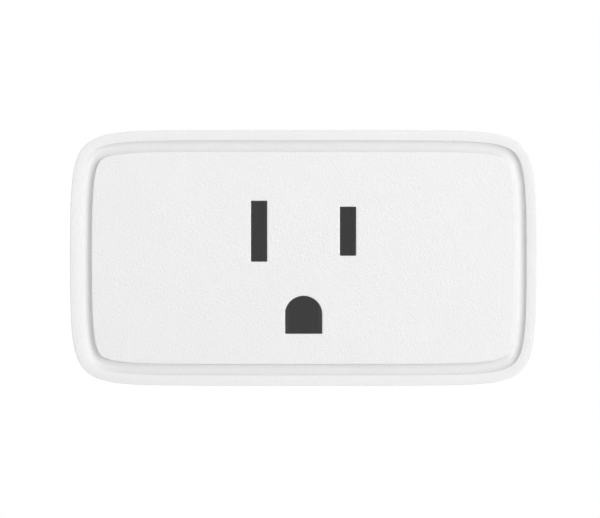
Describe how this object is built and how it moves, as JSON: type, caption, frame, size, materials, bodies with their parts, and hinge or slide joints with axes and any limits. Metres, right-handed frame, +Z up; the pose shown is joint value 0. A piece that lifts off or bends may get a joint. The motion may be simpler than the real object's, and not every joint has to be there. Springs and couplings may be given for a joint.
{
  "type": "smart plug",
  "caption": "Plug-in smart plug: rounded white housing with a grooved face, one grounded outlet in front, blades and a ground pin behind, and a side button.",
  "frame": {"origin": "middle of the rear face, in the plane that meets the wall plate", "axes": "+Z up with the ground hole at the bottom, +Y into the wall along the blades, +X to the right seen from the front"},
  "size_m": [0.0666, 0.0486, 0.0364],
  "materials": {
    "white_housing": "fine moulded texture, satin white",
    "white_button": "fine moulded texture, satin white",
    "steel_screw": "zinc plated, light drive marks",
    "clear_light_pipe": "clear frosted plastic",
    "label_film": "blank silver-grey polyester film",
    "dark_insulator": "dark grey flame-retardant moulding",
    "contact_bronze": "rolled phosphor bronze",
    "plated_blade": "nickel plated brass, fine drawn grain",
    "copper_strap": "rolled copper, lightly tarnished",
    "board_laminate": "green solder mask over woven glass laminate",
    "black_moulding": "black moulded plastic",
    "relay_case": "dark blue moulded case",
    "bobbin_moulding": "natural nylon",
    "enamelled_winding": "enamelled copper wire, wound in layers",
    "relay_iron": "soft iron, dull plating",
    "spring_bronze": "rolled spring bronze",
    "silver_contact": "silver alloy",
    "tinned_lead": "tinned wire",
    "gold_pin": "flash gold plating",
    "resistor_coat": "dull green cement coat",
    "varistor_coat": "dipped blue epoxy",
    "film_capacitor_case": "yellow moulded case",
    "chip_resin": "black moulded resin",
    "capacitor_sleeve": "dark shrink sleeve, bare aluminium top",
    "ferrite": "grey-black ferrite",
    "chip_ceramic": "fired ceramic with tinned ends",
    "shield_tin": "tin-plated sheet",
    "led_lens": "pale yellow phosphor"
  },
  "bodies": {
    "housing": {"front_cover": "white_housing", "rear_cover": "white_housing", "housing_screws": "steel_screw", "led_light_pipe": "clear_light_pipe", "rating_label": "label_film", "socket_carrier": "dark_insulator", "carrier_cap": "dark_insulator", "neutral_contact": "contact_bronze", "line_contact": "contact_bronze", "ground_contact": "contact_bronze", "neutral_blade": "plated_blade", "line_blade": "plated_blade", "ground_pin": "plated_blade", "blade_retainer": "dark_insulator", "neutral_strap": "copper_strap", "line_in_strap": "copper_strap", "line_out_strap": "copper_strap", "ground_strap": "copper_strap", "main_board": "board_laminate", "board_screws": "steel_screw", "relay_base": "black_moulding", "relay_cover": "relay_case", "relay_bobbin": "bobbin_moulding", "relay_winding": "enamelled_winding", "relay_core": "relay_iron", "relay_yoke": "relay_iron", "relay_fixed_terminal": "spring_bronze", "relay_fixed_contact": "silver_contact", "relay_return_spring": "spring_bronze", "relay_coil_pins": "tinned_lead", "fuse_resistor": "resistor_coat", "varistor": "varistor_coat", "film_capacitor": "film_capacitor_case", "bridge_rectifier": "chip_resin", "electrolytic_capacitors": "capacitor_sleeve", "choke_core": "ferrite", "choke_winding": "enamelled_winding", "power_chip": "chip_resin", "regulator_chip": "chip_resin", "chip_components": "chip_ceramic", "component_leads": "tinned_lead", "wifi_board": "board_laminate", "wifi_chip": "chip_resin", "wifi_shield": "shield_tin", "antenna_trace": "copper_strap", "header_pins": "gold_pin", "tact_switch_body": "black_moulding", "switch_dome": "shield_tin", "tact_switch_cover": "shield_tin", "status_led": "led_lens"},
    "button": {"side_button": "white_button"},
    "plunger": {"tact_switch_plunger": "black_moulding"},
    "armature": {"relay_armature": "relay_iron", "relay_contact_spring": "spring_bronze", "relay_moving_contact": "silver_contact"}
  },
  "joints": [
    {"name": "button_press", "type": "slide", "parent": "housing", "child": "button", "axis": [1, 0, 0], "range_m": [0, 0.0003], "stiffness_N_per_m": 1500, "springref_m": -0.0002},
    {"name": "plunger_press", "type": "slide", "parent": "housing", "child": "plunger", "axis": [1, 0, 0], "range_m": [0, 0.0003], "deforming": ["switch_dome"]},
    {"name": "armature_pull", "type": "hinge", "parent": "housing", "child": "armature", "pos_m": [0.0184, -0.01915, -0.0027], "axis": [-1, 0, 0], "range_deg": [0, 2.6], "stiffness_Nm_per_rad": 0.04, "springref_deg": -1.72, "deforming": ["relay_return_spring"]}
  ],
  "couplings": [
    {"joint": "plunger_press", "follows": "button_press", "ratio": 1}
  ]
}
